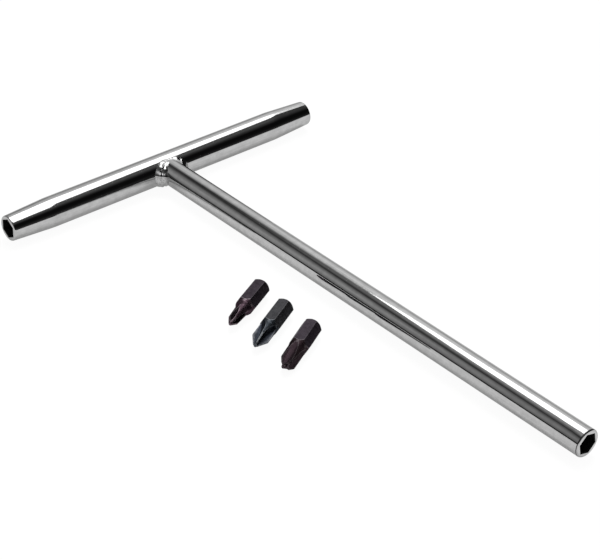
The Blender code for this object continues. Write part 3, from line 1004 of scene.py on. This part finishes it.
def make_softbox(name, direction, distance, face, roll, size, level):
    """A rectangular lamp of an even brightness, turned to face along a heading towards the object."""
    data = bpy.data.lights.new(name, "AREA")
    data.shape = "RECTANGLE"
    data.size, data.size_y = size
    data.energy = level * math.pi * size[0] * size[1]
    lamp = link(bpy.data.objects.new(name, data))
    back = heading(*face)
    across = Vector((0, 0, 1)).cross(back).normalized()
    up = back.cross(across)
    turn = Matrix((across, up, back)).transposed().to_4x4() @ Matrix.Rotation(math.radians(roll), 4, "Z")
    lamp.matrix_world = Matrix.Translation(CENTRE + distance * heading(*direction)) @ turn
    lamp.visible_camera = False
    lamp.visible_glossy = False


def make_studio():
    """The white room, and the panels whose bands show on the plate. Places are in degrees."""
    make_world(WORLD_LEVEL)
    make_floor()
    make_panel(
        "backdrop_edge", azimuths=(8, 26), elevations=(-1, 60),
        shades=[
            (-1, 0.36), (6, 0.40), (15, 0.46), (23, 0.56), (31, 0.76), (38, 0.76), (44, 0.70), (52, 0.64),
        ],
        fades=[(8, 0.25), (13, 0.36), (18, 0.54), (22, 0.84), (26, 1.0)],
    )
    make_panel(
        "backdrop", azimuths=(26, 70), elevations=(-1, 60),
        shades=[(-1, 0.42), (4, 0.48), (12, 0.70), (22, 0.88), (31, 0.98), (37, 1.04), (43, 1.08)],
        fades=[(26, 0.70), (32, 0.74), (37, 0.88), (42, 1.0)],
    )
    make_panel(
        "dark_side", azimuths=(-80, 8), elevations=(-1, 75),
        shades=[
            (-1, 0.010), (5.5, 0.012), (7.5, 0.10), (9.5, 0.25), (12, 0.28), (20, 0.40), (28, 0.40),
            (36, 0.28), (40, 0.19), (43, 0.12), (45, 0.07), (46.5, 0.04), (48, 0.055), (50, 0.10),
            (54, 0.19), (60, 0.40),
        ],
        fades=[(-80, 0.6), (-60, 0.7), (-57, 0.75), (-54, 0.8), (-52, 0.9), (-49, 1.0)],
        lifts=[(-27, 1.06), (-9, 1.0)],
    )
    make_panel(
        "black_front", azimuths=(70, 182), elevations=(-1, 75),
        shades=[
            (-1, 0.07), (5, 0.03), (12, 0.012), (20, 0.006), (34, 0.005), (40, 0.012), (47, 0.05),
            (54, 0.11), (62, 0.13),
        ],
    )
    make_panel(
        "black_left", azimuths=(-178, -80), elevations=(0, 70),
        shades=[(0, 0.02), (20, 0.05), (35, 0.08), (55, 0.18), (70, 0.35)],
    )
    make_canopy(
        "canopy",
        edge=[
            (4, 60.5), (10, 58.5), (16, 55.5), (21, 52.8), (28, 50.3), (34, 48), (38, 45.8), (43, 43.8),
            (49, 42), (56, 39.5), (63, 44), (72, 48.5), (80, 54.5), (88, 58), (97, 60.5), (106, 62),
            (120, 62.5), (138, 60.5), (150, 60),
        ],
        level=2.6,
    )
    make_softbox(
        "softbox", direction=(46.3, 64.0), distance=2.5, face=(86.3, 39.0), roll=68.1, size=(1.50, 1.42),
        level=6.0,
    )


def main():
    chrome = plated_steel("plated_handle", "X")
    drawn = plated_steel("plated_stem", "Y")
    # The sockets' bore and lead-in are painted near black as shade.
    bore = painted_shade_bore("socket_bore_painted_shade")
    edge = painted_rim_reflection("painted_rim_reflection")
    # The end faces get a brighter copy of the plate, a painted highlight.
    face = plated_steel("plated_face_painted_highlight", "Z", base=0.66)
    make_handle([chrome, bore, edge, face])
    make_stem([drawn, bore, edge, face])
    make_weld(weld_plate("weld_plate"))
    for key, sizes in BITS.items():
        metal = sizes["turned_metal"]
        shank = black_oxide(f"{key}_shank", sizes["shank"], SHANK_ROUGHNESS, 1.0, SHANK_GRAIN)
        turned = black_oxide(f"{key}_turned", sizes["turned"], sizes["turned_roughness"], metal, BLADE_GRAIN)
        milled = black_oxide(f"{key}_milled", sizes["milled"], sizes["milled_roughness"], metal, BLADE_GRAIN)
        make_bit(key, sizes, [shank, turned, milled])
    for name in ("left_magnet", "right_magnet", "stem_magnet"):
        dress(name, magnet_nickel("magnet_nickel"))
    for name in ("left_stop_plug", "right_stop_plug"):
        dress(name, plain_steel("plain_steel"))
    make_studio()
    make_camera()
    bpy.context.scene.view_settings.view_transform = "Standard"


main()
